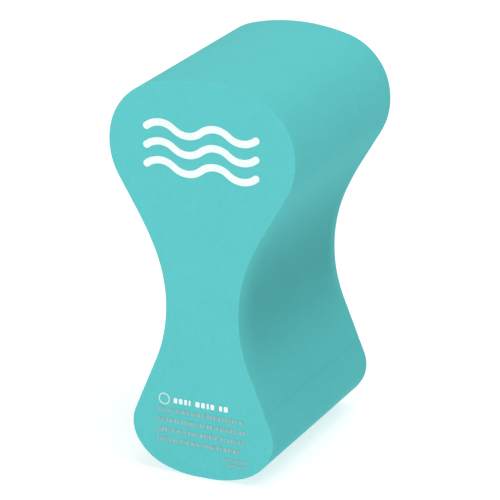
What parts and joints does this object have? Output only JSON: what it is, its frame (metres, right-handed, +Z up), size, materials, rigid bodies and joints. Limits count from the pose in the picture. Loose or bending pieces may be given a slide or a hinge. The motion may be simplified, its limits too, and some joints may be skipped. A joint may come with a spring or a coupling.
{
  "type": "pull buoy",
  "caption": "Foam swimming float with a figure-of-eight profile, gripped between the thighs so that the legs stay up while the arms pull.",
  "frame": {"origin": "middle of the base flat, on the ground that the buoy stands on", "axes": "+Z up from the small lobe to the large lobe, -Y out of the printed front face, +X to the right as that face is read, across the thigh recesses"},
  "size_m": [0.1138, 0.1352, 0.236],
  "materials": {
    "foam": "matte",
    "print_white": "matte",
    "print_grey": "matte"
  },
  "bodies": {
    "root": {"foam_slab_front": "foam", "foam_slab_middle": "foam", "foam_slab_rear": "foam", "print_wave_upper": "print_white", "print_wave_middle": "print_white", "print_wave_lower": "print_white", "print_care_ring": "print_grey", "print_care_heading": "print_white", "print_care_line_1": "print_grey", "print_care_line_2": "print_grey", "print_care_line_3": "print_grey", "print_care_line_4": "print_grey", "print_care_note_1": "print_grey", "print_care_note_2": "print_grey"}
  },
  "joints": []
}
